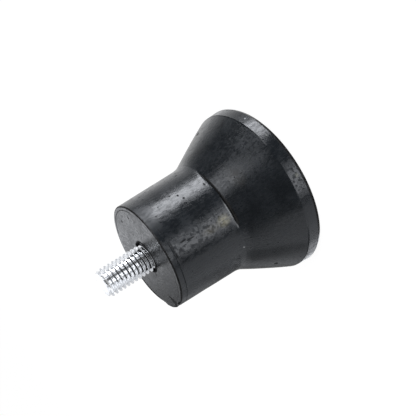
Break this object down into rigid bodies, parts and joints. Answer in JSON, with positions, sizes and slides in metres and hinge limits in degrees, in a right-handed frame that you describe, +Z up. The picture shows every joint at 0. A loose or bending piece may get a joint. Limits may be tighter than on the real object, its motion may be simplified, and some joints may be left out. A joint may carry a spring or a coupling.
{
  "type": "rubber foot",
  "caption": "Flared black rubber foot for a small machine, with a threaded zinc-plated steel stud on its narrow end and a dished base.",
  "frame": {"origin": "centre of the base, on the surface the foot stands on", "axes": "+Z up along the foot's axis, from the wide base to the end of the stud; the foot is the same all round, so X and Y are free"},
  "size_m": [0.05, 0.05, 0.0552],
  "materials": {
    "black_rubber": "moulded, satin",
    "zinc_plated_steel": "bright zinc plate over a rolled thread",
    "bare_steel": "grit-blasted for bonding"
  },
  "bodies": {
    "root": {"rubber_foot": "black_rubber", "bonding_plate": "bare_steel", "threaded_stud": "zinc_plated_steel"}
  },
  "joints": []
}
